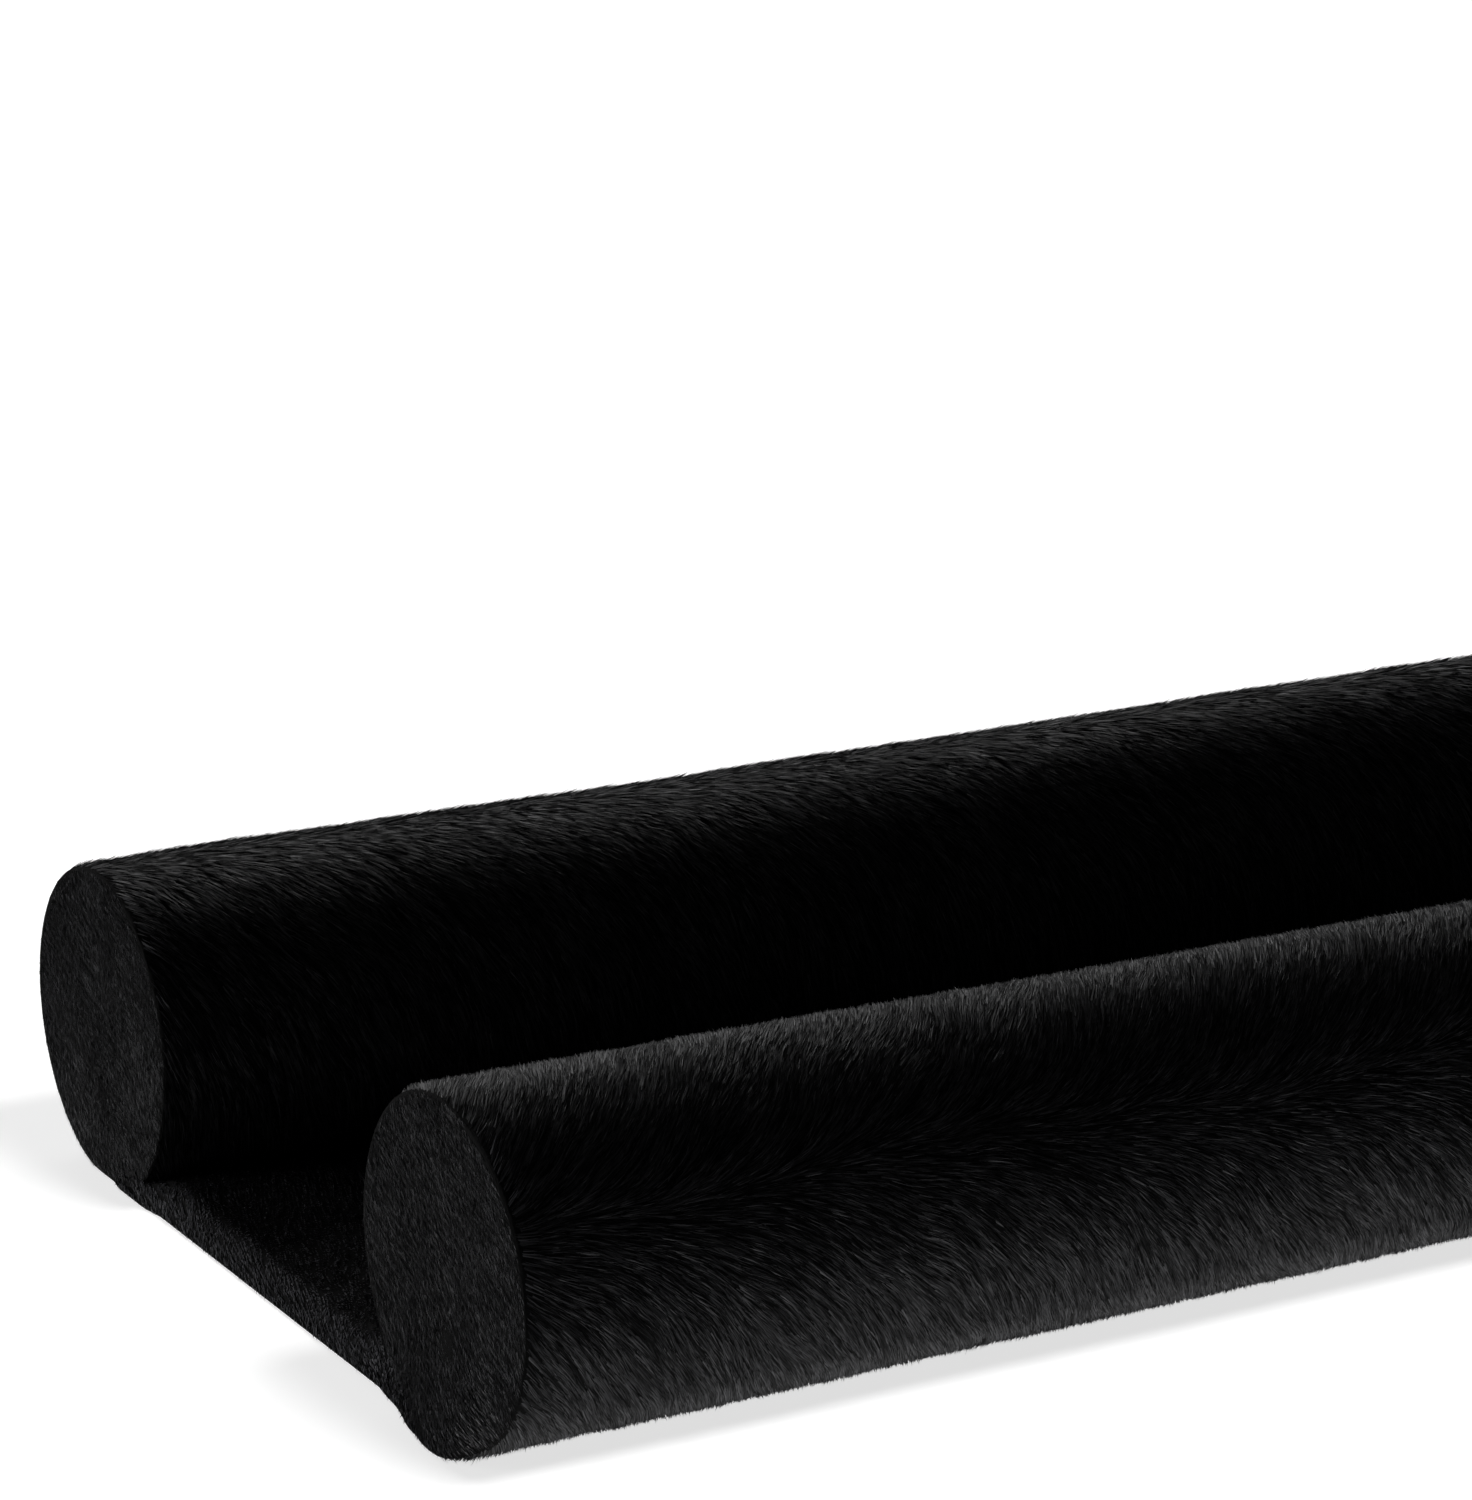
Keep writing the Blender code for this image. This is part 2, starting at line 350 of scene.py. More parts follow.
def smoothed_round(values, passes):
    """Evens out values over the columns of a grid that closes on itself."""
    for _ in range(passes):
        values = (np.roll(values, 1, axis=1) + 2 * values + np.roll(values, -1, axis=1)) / 4
    return values


def roll_rows(settings):
    """Places of the rows along a roll: close together over the rounded shoulders."""
    from_end = np.array([0.0, 0.3, 0.8, 1.6, 2.8, 4.5, 7.0, 11.0]) * MM
    half = HALF_LENGTH - settings.tuck
    inner = half - from_end[-1]
    middle = np.linspace(-inner, inner, int(2 * inner / settings.pitch) + 1)[1:-1]
    return np.concatenate([from_end - half, middle, (half - from_end)[::-1]])


def roll_surface(node, side, settings):
    """The ground cloth of a roll, laid just under the outside of its solid.

    It runs on past the solid's end to the seam at the rim of the end panel.
    """
    tree = solid_tree(node)
    rows = roll_rows(settings)
    turns = np.linspace(-math.pi / 2, 1.5 * math.pi, settings.columns + 1)
    reach = np.empty((len(rows), settings.columns))
    straight = SLEEVE_HALF - 5 * MM
    for i, along in enumerate(rows):
        middle = Vector((min(max(along, -straight), straight), side * ROLL_OFFSET, AXIS_HEIGHT))
        for j, turn in enumerate(turns[:-1]):
            way = Vector((0.0, side * math.cos(turn), math.sin(turn)))
            reach[i, j] = tree.ray_cast(middle, way)[3]
    reach = smoothed_round(reach, 2) - settings.under_pile
    # The filling swells the ends a little, and lies in soft lumps
    from_end = HALF_LENGTH - np.abs(rows)
    reach += settings.swell * (1.4 - 2.0 * eased(from_end, 10 * MM, 130 * MM))[:, None]
    spots = np.stack(np.broadcast_arrays(
        rows[:, None], side * reach * np.cos(turns[:-1]), reach * np.sin(turns[:-1])), axis=-1)
    reach += settings.lumps * drift(spots, 34 * MM, 71 + side)
    # The sleeve is drawn in over its last rows, towards the seam
    drawn_in = 0.18 * MM * np.array([1.0, 0.55, 0.30, 0.12, 0.03])
    reach[:len(drawn_in)] -= drawn_in[:, None]
    reach[-len(drawn_in):] -= drawn_in[::-1, None]
    reach = np.concatenate([reach, reach[:, :1]], axis=1)
    points = np.empty((len(rows), settings.columns + 1, 3))
    points[..., 0] = rows[:, None]
    points[..., 1] = side * (ROLL_OFFSET + reach * np.cos(turns))
    points[..., 2] = np.maximum(AXIS_HEIGHT + reach * np.sin(turns), CLOTH_CLEARANCE)
    if side == FRONT:
        points[..., 0] -= flare(points, settings)
    surface = Surface(points, rows, turns * ROLL_RADIUS)
    if side == BACK:
        surface.normals = -surface.normals
    surface.turns = turns
    return surface


def flare(points, settings):
    """How far the foot of the front roll's left end kicks out towards -X at some points."""
    out = points[..., 1] + ROLL_OFFSET
    down = AXIS_HEIGHT - points[..., 2]
    near_end = 1 - eased(points[..., 0], -HALF_LENGTH + 1 * MM, -HALF_LENGTH + 22 * MM)
    foot = eased(down, 6 * MM, 19 * MM) * eased(out, -14 * MM, -6 * MM)
    inside = 1 - eased(out, -2 * MM, 14 * MM)
    return settings.flare * near_end * foot * inside


def web_rows(settings):
    """Rows along the web, as (place, level): up over one rounded end, along, and down the other.

    level runs from 0 at the floor to 1 on top.
    """
    nose = settings.web_nose
    arc = np.radians(np.linspace(0.0, 90.0, 7))
    left = [(nose * (1 - math.cos(a)), math.sin(a)) for a in arc]
    from_end = np.array([3.2, 4.4, 6.0, 8.0, 11.0, 15.0, 20.0, 25.0]) * MM
    left += [(place, 1.0) for place in from_end]
    inner = HALF_LENGTH - 30 * MM
    count = int(2 * inner / settings.pitch)
    middle = [(place, 1.0) for place in np.linspace(-inner, inner, count)]
    rows = [(place - HALF_LENGTH, level) for place, level in left]
    return rows + middle + [(-place, level) for place, level in reversed(rows)]


def web_surface(settings):
    """The upper cloth of the web with its two rounded short ends, laid just under its solid.

    Along its hems it rises to the undersides of the rolls, where it is sewn on.
    """
    tree = solid_tree("web")
    low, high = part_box("web")
    half = ROLL_OFFSET - 1.5 * MM
    across = np.linspace(-half, half, settings.web_columns)
    down = Vector((0.0, 0.0, -1.0))
    rows = web_rows(settings)
    points = np.empty((len(rows), len(across), 3))
    reach = HALF_LENGTH - 4 * MM
    hem = eased(np.abs(across), 36.0 * MM, 38.5 * MM)
    # Where the short ends lie against the end panels, they stand out flush with them
    flush = eased(np.abs(across), 31 * MM, 36 * MM) * (
        1 - eased(np.abs(across), 43 * MM, half))
    aside = ROLL_OFFSET - np.abs(across)
    round_reach = ROLL_RADIUS - settings.under_pile
    beneath = AXIS_HEIGHT - np.sqrt(round_reach ** 2 - np.minimum(aside, 0.8 * ROLL_RADIUS) ** 2)
    for i, (along, level) in enumerate(rows):
        for j, beside in enumerate(across):
            held = max(low[1] + 0.5 * MM, min(high[1] - 0.5 * MM, beside))
            start = Vector((max(-reach, min(reach, along)), held, 1.0))
            top = tree.ray_cast(start, down)[0][2] - settings.under_web
            at_end = 1 - eased(HALF_LENGTH - abs(along), 1 * MM, 6 * MM)
            top += (beneath[j] + (0.1 + 1.2 * flush[j] * at_end) * MM - top) * hem[j]
            depth = HALF_LENGTH - abs(along)
            if depth < 1.5 * settings.web_nose:
                depth *= 1 - 0.7 * flush[j]
            place = math.copysign(HALF_LENGTH - depth, along)
            points[i, j] = (place, beside, max(top * level, CLOTH_CLEARANCE))
    points[:, :, 2] = evened(points[:, :, 2], 1)
    # The ends stand a little back from the end panels, but flush with them where they touch
    from_end = HALF_LENGTH - np.abs(points[..., 0])
    back = 0.6 * MM * (1 - flush) * (1 - eased(from_end, 1 * MM, 12 * MM))
    points[..., 0] -= np.sign(points[..., 0]) * back
    # Beside the front roll's left end the cloth runs on into its flared foot
    points[..., 0] -= flare(points, settings)
    steps = np.linalg.norm(np.diff(points[:, len(across) // 2], axis=0), axis=1)
    surface = Surface(points, np.concatenate([[0.0], np.cumsum(steps)]), across - across[0])
    return surface


def evened(values, passes):
    """Evens out values over the columns of a grid that ends at its two sides."""
    for _ in range(passes):
        inner = (values[:, :-2] + 2 * values[:, 1:-1] + values[:, 2:]) / 4
        values = np.concatenate([values[:, :1], inner, values[:, -1:]], axis=1)
    return values


def panel_surface(node, side, end, settings):
    """The outer cloth of an end panel: a soft disc that turns in over a rounded rim."""
    tree = solid_tree(node)
    low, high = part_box(node)
    face = high[0] if end == RIGHT else low[0]
    middle = Vector(((low[0] + high[0]) / 2, side * ROLL_OFFSET, AXIS_HEIGHT))
    turns = np.linspace(-math.pi / 2, 1.5 * math.pi, settings.columns + 1)
    # Rings of the disc: share of the radius, and how far in from the edge of the face
    rings = [(share, 0.0) for share in (0.03, 0.13, 0.23, 0.33, 0.43, 0.53, 0.63, 0.72, 0.80, 0.87,
                                        0.93, 0.975)]
    rim = [(0.996, 0.05 * MM), (1.0, 0.15 * MM), (0.985, 0.35 * MM), (0.955, 1.0 * MM)]
    points = np.empty((len(rings) + len(rim), len(turns), 3))
    for j, turn in enumerate(turns):
        way = Vector((0.0, side * math.cos(turn), math.sin(turn)))
        reach = tree.ray_cast(middle, way)[3]
        for i, (share, depth) in enumerate(rings + rim):
            spot = middle + way * (reach - 0.05 * MM) * share
            spot[0] = face - end * (settings.under_panel + 0.15 * MM * share ** 2 + depth)
            points[i, j] = spot
    points[:, :, 2] = np.maximum(points[:, :, 2], CLOTH_CLEARANCE)
    soft = np.array([1 - share ** 4 for share, depth in rings] + [0.0] * len(rim))
    points[..., 0] += settings.dents * soft[:, None] * drift(points, 13 * MM, 61 + 3 * side + end)
    if end == LEFT and side == FRONT:
        points[..., 0] -= flare(points, settings)
    steps = np.linalg.norm(np.diff(points[:, len(turns) // 2], axis=0), axis=1)
    surface = Surface(points, np.concatenate([[0.0], np.cumsum(steps)]), turns * ROLL_RADIUS)
    if (surface.normals[2, 0, 0] > 0) != (end == RIGHT):
        surface.normals = -surface.normals
    return surface


def mesh_piece(name, vertices, faces, uvs, material):
    """A smooth mesh with a flat map named OFBake, from arrays."""
    mesh = bpy.data.meshes.new(name)
    mesh.from_pydata(vertices.tolist(), [], faces)
    layer = mesh.uv_layers.new(name="OFBake")
    corner = np.empty(len(mesh.loops), dtype=np.int32)
    mesh.loops.foreach_get("vertex_index", corner)
    layer.data.foreach_set("uv", uvs[corner].astype(np.float32).ravel())
    mesh.materials.append(material)
    mesh.shade_smooth()
    piece = bpy.data.objects.new(name, mesh)
    bpy.context.scene.collection.objects.link(piece)
    return piece


def flat_map(along, around):
    """Places on the flat cloth, in metres, brought into the map's unit square."""
    span = max(np.ptp(along), np.ptp(around))
    return np.stack([(along - along.min()) / span, (around - around.min()) / span], axis=-1)


def grid_faces(rows, columns, flipped):
    """The four-cornered faces of a grid of points."""
    faces = []
    for i in range(rows - 1):
        for j in range(columns - 1):
            a = i * columns + j
            face = (a, a + 1, a + columns + 1, a + columns)
            faces.append(face[::-1] if flipped else face)
    return faces


def sheet_piece(name, surface, floor_height, material):
    """The web's two layers of cloth as one closed sheet: its surface over a flat underside."""
    rows, columns = surface.points.shape[:2]
    top = surface.points.reshape(-1, 3)
    under = top.copy()
    under[:, 2] = floor_height
    first, last = top[:columns], top[-columns:]
    lowest = under.reshape(rows, columns, 3)
    lowest[0], lowest[-1] = first, last
    faces = grid_faces(rows, columns, False)
    count = rows * columns
    faces += [tuple(count + k for k in face[::-1]) for face in grid_faces(rows, columns, False)]
    for i in range(rows - 1):
        a, b = i * columns, (i + 1) * columns
        faces.append((a, b, count + b, count + a))
        a, b = a + columns - 1, b + columns - 1
        faces.append((b, a, count + a, count + b))
    for row, way in ((0, 1), (rows - 1, -1)):
        for j in range(columns - 1):
            a = row * columns + j
            face = (a + 1, a, count + a, count + a + 1)
            faces.append(face[::way])
    vertices = np.concatenate([top, lowest.reshape(-1, 3)])
    along = np.repeat(surface.along, columns)
    across = np.tile(surface.around, rows)
    width = np.ptp(across) + 4 * MM
    uvs = flat_map(np.tile(along, 2), np.concatenate([across, across + width]))
    piece = mesh_piece(name, vertices, faces, uvs, material)
    tidy = bmesh.new()
    tidy.from_mesh(piece.data)
    bmesh.ops.remove_doubles(tidy, verts=tidy.verts, dist=0.01 * MM)
    bmesh.ops.dissolve_degenerate(tidy, edges=tidy.edges, dist=0.01 * MM)
    bmesh.ops.recalc_face_normals(tidy, faces=tidy.faces)
    tidy.to_mesh(piece.data)
    tidy.free()
    return piece


def panel_piece(name, surface, material, flipped):
    """An end panel as a closed disc: its soft face and rim, and a flat back."""
    rows, columns = surface.points.shape[:2]
    count = columns - 1
    ring = surface.points[:, :-1]
    vertices = np.concatenate([
        ring.reshape(-1, 3), [ring[0].mean(axis=0)], [ring[-1].mean(axis=0)]])
    faces = []
    for j in range(count):
        k = (j + 1) % count
        for i in range(rows - 1):
            faces.append((i * count + j, i * count + k, (i + 1) * count + k, (i + 1) * count + j))
        faces.append((rows * count, k, j))
        faces.append((rows * count + 1, (rows - 1) * count + j, (rows - 1) * count + k))
    if flipped:
        faces = [face[::-1] for face in faces]
    uvs = flat_map(np.append(ring[..., 1], [vertices[-2:, 1]]), np.append(
        ring[..., 2], [vertices[-2:, 2]]))
    return mesh_piece(name, vertices, faces, uvs, material)


def sleeve_piece(name, surface, material, flipped):
    """A roll's ground cloth as a closed tube."""
    rows, columns = surface.points.shape[:2]
    ring = surface.points[:, :-1]
    vertices = ring.reshape(-1, 3)
    count = columns - 1
    faces = []
    for i in range(rows - 1):
        for j in range(count):
            k = (j + 1) % count
            face = (i * count + j, i * count + k, (i + 1) * count + k, (i + 1) * count + j)
            faces.append(face[::-1] if flipped else face)
    # The ends are dished, so that they stay well behind the cloth of the end panels
    dished = np.array([4.0 * MM, 0.0, 0.0])
    ends = [ring[0].mean(axis=0) + dished, ring[-1].mean(axis=0) - dished]
    vertices = np.concatenate([vertices, ends])
    first, last = len(vertices) - 2, len(vertices) - 1
    for j in range(count):
        k = (j + 1) % count
        base = (rows - 1) * count
        for face in ((first, k, j), (last, base + j, base + k)):
            faces.append(face[::-1] if flipped else face)
    along = np.repeat(surface.along, count)
    around = np.tile(surface.around[:-1], rows)
    middle = surface.around.mean()
    along = np.concatenate([along, [surface.along[0], surface.along[-1]]])
    around = np.concatenate([around, [middle, middle]])
    return mesh_piece(name, vertices, faces, flat_map(along, around), material)


# The pile

# Distances from the left end, in metres, at which the pile of a roll is split into pieces
PILE_PARTS = (
    # start, end
    (0.0, 0.09),
    (0.09, 0.21),
    (0.21, 1.0),
)

# How uneven the leaves are: their lift, length and width as shares of each, and their twist
UNEVEN_LIFT = 0.20
UNEVEN_LENGTH = 0.16
UNEVEN_WIDTH = 0.20
LEAF_TWIST = np.radians(28.0)

def combed(surface, nap, rows, columns):
    """At some places on a cloth: the ways along it, across it, out of it and of its nap."""
    normals = unit(surface.read(surface.normals, rows, columns))
    row_way = unit(surface.read(surface.row_way, rows, columns))
    column_way = unit(surface.read(surface.column_way, rows, columns))
    places = surface.read(surface.points, rows, columns)
    around = np.interp(columns, np.arange(len(surface.around)), surface.around)
    way = nap(places, around, row_way, column_way, normals)
    way = unit(way - (way * normals).sum(axis=1, keepdims=True) * normals)
    return row_way, column_way, normals, way


def locks(surface, nap, density, bare, settings, length, seed):
    """Roots of leaves in short lines that follow the nap, as rows and columns of the grid.

    Also gives the density at each and a number from 0 to 1 that the leaves of a line share.
    """
    dice = np.random.default_rng(seed + 5)
    leaves_each = settings.lock_leaves
    rows, columns, spread = surface.spots(density / leaves_each, seed)
    way = combed(surface, nap, rows, columns)[3]
    count = len(rows)
    shared = dice.random(count)
    place = np.tile(np.arange(leaves_each) - (leaves_each - 1) / 2, count)
    place = place + 0.2 * dice.standard_normal(len(place))
    rows, columns, way = (np.repeat(each, leaves_each, axis=0) for each in (rows, columns, way))
    steps = way * (place * settings.lock_step * length)[:, None]
    rows, columns = surface.moved(rows, columns, steps)
    spread, shared = np.repeat(spread * leaves_each, leaves_each), np.repeat(shared, leaves_each)
    if bare is not None:
        cell_row = np.minimum(rows.astype(int), bare.shape[0] - 1)
        cell_column = np.minimum(columns.astype(int), bare.shape[1] - 1)
        kept = ~bare[cell_row, cell_column]
        rows, columns, spread, shared = rows[kept], columns[kept], spread[kept], shared[kept]
    return rows, columns, spread, shared


def leaves(name, surface, nap, density, material, settings, seed, short=1.0, raised=1.0,
           thin=1.0, bare=None):
    """Plants locks of pile over a surface, each leaf in them a narrow triangle.

    nap gives the way that the pile is combed, as vectors, density the leaves to a square metre
    in each cell, and bare the cells where none grow. short, raised and thin change the pile's
    length, lift, and width and waviness. Leaves grow wider where they are sparser, so that they
    cover alike.
    """
    size = short * settings.pile_length
    rows, columns, spread, shared = locks(surface, nap, density, bare, settings, size, seed)
    dice = np.random.default_rng(seed + 1)
    roots = surface.read(surface.points, rows, columns)
    row_way, column_way, normals, way = combed(surface, nap, rows, columns)
    count = len(roots)
    side = np.cross(normals, way)
    swing = thin * (np.radians(3.0) * dice.standard_normal(count) + np.radians(9.0) * (
        shared - 0.5) + np.radians(5.0) * drift(roots, 9 * MM, seed + 2))
    way = way * np.cos(swing)[:, None] + side * np.sin(swing)[:, None]
    side = np.cross(normals, way)
    lift = raised * settings.lift * (1 + UNEVEN_LIFT * dice.standard_normal(count)
                                     + 0.12 * drift(roots, 6 * MM, seed + 3))
    lift = np.clip(lift, 0.6 * raised * settings.lift, np.radians(40))[:, None]
    spine = way * np.cos(lift) + normals * np.sin(lift)
    length = size * (1 + UNEVEN_LENGTH * dice.standard_normal(count)
                     + 0.10 * drift(roots, 7 * MM, seed + 4))
    length = np.clip(length, 0.5 * size, 1.5 * size)
    twist = LEAF_TWIST * (2 * dice.random(count) - 1)[:, None]
    edge = side * np.cos(twist) + np.cross(spine, side) * np.sin(twist)
    scale = (settings.near_density / MM ** 2 / spread) ** 0.45
    width = thin * settings.leaf_width * scale * (1 + UNEVEN_WIDTH * dice.standard_normal(count))
    width = np.clip(width, 0.4 * settings.leaf_width, 4 * settings.leaf_width)
    long = (length * (0.8 + 0.2 * scale))[:, None]
    sunk = roots - normals * 0.05 * MM
    room = (sunk[:, 2:] - 0.03 * MM) / np.maximum(-spine[:, 2:] * long, 1e-9)
    long = long * np.where(spine[:, 2:] < 0, np.clip(room, 0.15, 1.0), 1.0)
    tips = sunk + spine * long
    corners = np.stack([
        sunk - edge * width[:, None] / 2,
        sunk + edge * width[:, None] / 2,
        tips,
    ], axis=1)
    corners[..., 2] = np.maximum(corners[..., 2], LEAF_CLEARANCE)
    facing = np.cross(corners[:, 1] - corners[:, 0], corners[:, 2] - corners[:, 0])
    wrong = (facing * normals).sum(axis=1) < 0
    corners[wrong] = corners[wrong][:, [1, 0, 2]]
    # Each leaf's place on the flat cloth, as its map
    along = np.interp(rows, np.arange(len(surface.along)), surface.along)
    around = np.interp(columns, np.arange(len(surface.around)), surface.around)
    offset = corners - roots[:, None]
    flat = np.stack([
        along[:, None] + (offset * row_way[:, None]).sum(axis=2),
        around[:, None] + (offset * column_way[:, None]).sum(axis=2),
    ], axis=2).reshape(-1, 2)
    uvs = flat_map(flat[:, 0], flat[:, 1])
    mesh = bpy.data.meshes.new(name)
    mesh.vertices.add(3 * count)
    mesh.vertices.foreach_set("co", corners.astype(np.float32).ravel())
    mesh.loops.add(3 * count)
    mesh.loops.foreach_set("vertex_index", np.arange(3 * count, dtype=np.int32))
    mesh.polygons.add(count)
    mesh.polygons.foreach_set("loop_start", np.arange(0, 3 * count, 3, dtype=np.int32))
    mesh.update(calc_edges=True)
    tone = mesh.attributes.new("tone", "FLOAT", "FACE")
    # The power leaves only a few of the leaves pale
    own = (0.7 * shared + 0.3 * dice.random(count)) ** 2.5
    tone.data.foreach_set("value", own.astype(np.float32))
    layer = mesh.uv_layers.new(name="OFBake")
    layer.data.foreach_set("uv", uvs.astype(np.float32).ravel())
    mesh.materials.append(material)
    piece = bpy.data.objects.new(name, mesh)
    bpy.context.scene.collection.objects.link(piece)
    return piece


def comb_roll(side):
    """The nap of a roll: combed away from a line low on its outer side."""
    table = np.array(ROLL_NAP)

    def nap(places, around, row_way, column_way, normals):
        turns = np.degrees(around / ROLL_RADIUS)
        turns = turns + 8.0 * drift(places, 50 * MM, 11 + side)
        lean = np.radians(np.interp(turns, table[:, 0], table[:, 1]))
        lean = lean + np.radians(8.0) * drift(places, 17 * MM, 21 + side)
        lean = lean + np.radians(5.0) * drift(places, 8 * MM, 41 + side)
        return row_way * np.cos(lean)[:, None] + column_way * np.sin(lean)[:, None]

    return nap


def comb_flat(direction, facing):
    """The nap of a flat piece: combed one way all over, and carried on round its soft edges."""
    face = np.array(facing)
    across = unit(np.cross(face, np.array(direction)))
    straight = np.cross(across, face)

    def nap(places, around, row_way, column_way, normals):
        sway = np.radians(7.0) * drift(places, 16 * MM, 31)[:, None]
        way = straight * np.cos(sway) + across * np.sin(sway)
        turned = (way * normals).sum(axis=1) / np.maximum(1 + normals @ face, 0.1)
        return way - turned[:, None] * (normals + face)

    return nap


def density_for(places, shown, settings):
    """Leaves to a square metre: fine near the left end, coarser round the back and elsewhere.

    shown is 1 where the surface faces forwards or up, and 0 where it faces back or down.
    """
    near = 1 - eased(places, -HALF_LENGTH + 0.16, -HALF_LENGTH + 0.24)
    beside = settings.turned_density + (settings.near_density - settings.turned_density) * shown
    return (settings.far_density + (beside - settings.far_density) * near) / MM ** 2


# Materials

def ground_cloth(name, settings):
    """Knitted polyester ground, dyed black: to the eye a lightless matt between the leaves."""
    material, tree, output = new_material(name)
    coords = add_node(tree, "ShaderNodeTexCoord")
    cloud = add_node(tree, "ShaderNodeTexNoise", inputs={
        "Vector": coords.outputs["Object"], "Scale": 1 / (12 * MM), "Detail": 3.0})
    tone = add_node(tree, "ShaderNodeMix", {"data_type": "RGBA"}, {
        "Factor": cloud.outputs["Fac"],
        "A": (*settings.pile_colour, 1.0),
        "B": (*settings.ground_colour, 1.0),
    })
    stitch = add_node(tree, "ShaderNodeTexNoise", inputs={
        "Vector": coords.outputs["Object"], "Scale": 1 / (0.45 * MM), "Detail": 2.0})
    bump = add_node(tree, "ShaderNodeBump", inputs={
        "Height": stitch.outputs["Fac"], "Strength": 0.6, "Distance": 0.25 * MM})
    shader = add_node(tree, "ShaderNodeBsdfPrincipled", inputs={
        "Base Color": tone.outputs["Result"],
        "Roughness": 0.9,
        "IOR": 1.45,
        "Specular IOR Level": 0.2,
        "Normal": bump.outputs["Normal"],
    })
    tree.links.new(shader.outputs["BSDF"], output.inputs["Surface"])
    return material


def combed_pile(name, settings, roughness, paler_share=0.0):
    """Polyester plush pile, cut and combed: fine glossy fibres that only glint at a low angle.

    On the web and the ends it is duller, and a given share makes every leaf paler, as on the web.
    """
    material, tree, output = new_material(name)
    own = add_node(tree, "ShaderNodeAttribute", {"attribute_name": "tone"})
    # A given share raises every leaf's tone towards the paler colour, as on the web
    worn = add_node(tree, "ShaderNodeMapRange", inputs={
        "Value": own.outputs["Fac"], "To Min": paler_share, "To Max": 1.0})
    tone = add_node(tree, "ShaderNodeMix", {"data_type": "RGBA"}, {
        "Factor": worn.outputs["Result"],
        "A": (*settings.pile_colour, 1.0),
        "B": (*settings.worn_colour, 1.0),
    })
    gloss = add_node(tree, "ShaderNodeMapRange", inputs={
        "Value": own.outputs["Fac"], "To Min": 0.05, "To Max": 1.0})
    shader = add_node(tree, "ShaderNodeBsdfPrincipled", inputs={
        "Base Color": tone.outputs["Result"],
        "Roughness": roughness,
        "IOR": 1.54,
        "Specular IOR Level": gloss.outputs["Result"],
    })
    tree.links.new(shader.outputs["BSDF"], output.inputs["Surface"])
    return material


def opal_floor(settings):
    """Opal acrylic table lit from beneath: an even pale ground on which shadows stay faint."""
    material, tree, output = new_material("studio_opal")
    shader = add_node(tree, "ShaderNodeBsdfPrincipled", inputs={
        "Base Color": (*settings.floor_colour, 1.0), "Roughness": 0.9,
        "Specular IOR Level": 0.0,
        "Emission Color": (1.0, 1.0, 1.0, 1.0), "Emission Strength": settings.floor_glow})
    tree.links.new(shader.outputs["BSDF"], output.inputs["Surface"])
    return material


def backdrop_paper(settings):
    """Matt paper hung far behind, lit evenly: a pale ground above the horizon."""
    material, tree, output = new_material("studio_backdrop")
    glow = add_node(tree, "ShaderNodeEmission", inputs={
        "Color": (*settings.backdrop_colour, 1.0), "Strength": 1.0})
    tree.links.new(glow.outputs["Emission"], output.inputs["Surface"])
    return material


def soft_light(scene, name, place, aim, width, height, power):
    """Gives a flat soft light at a place, turned to a point, that the camera doesn't see."""
    lamp = bpy.data.lights.new(name, "AREA")
    lamp.shape = "RECTANGLE"
    lamp.size, lamp.size_y = width, height
    lamp.energy = power
    light = bpy.data.objects.new(name, lamp)
    light.location = place
    way = Vector(aim) - light.location
    light.rotation_euler = way.to_track_quat("-Z", "Y").to_euler()
    light.visible_camera = False
    scene.collection.objects.link(light)
    return light


# Operators

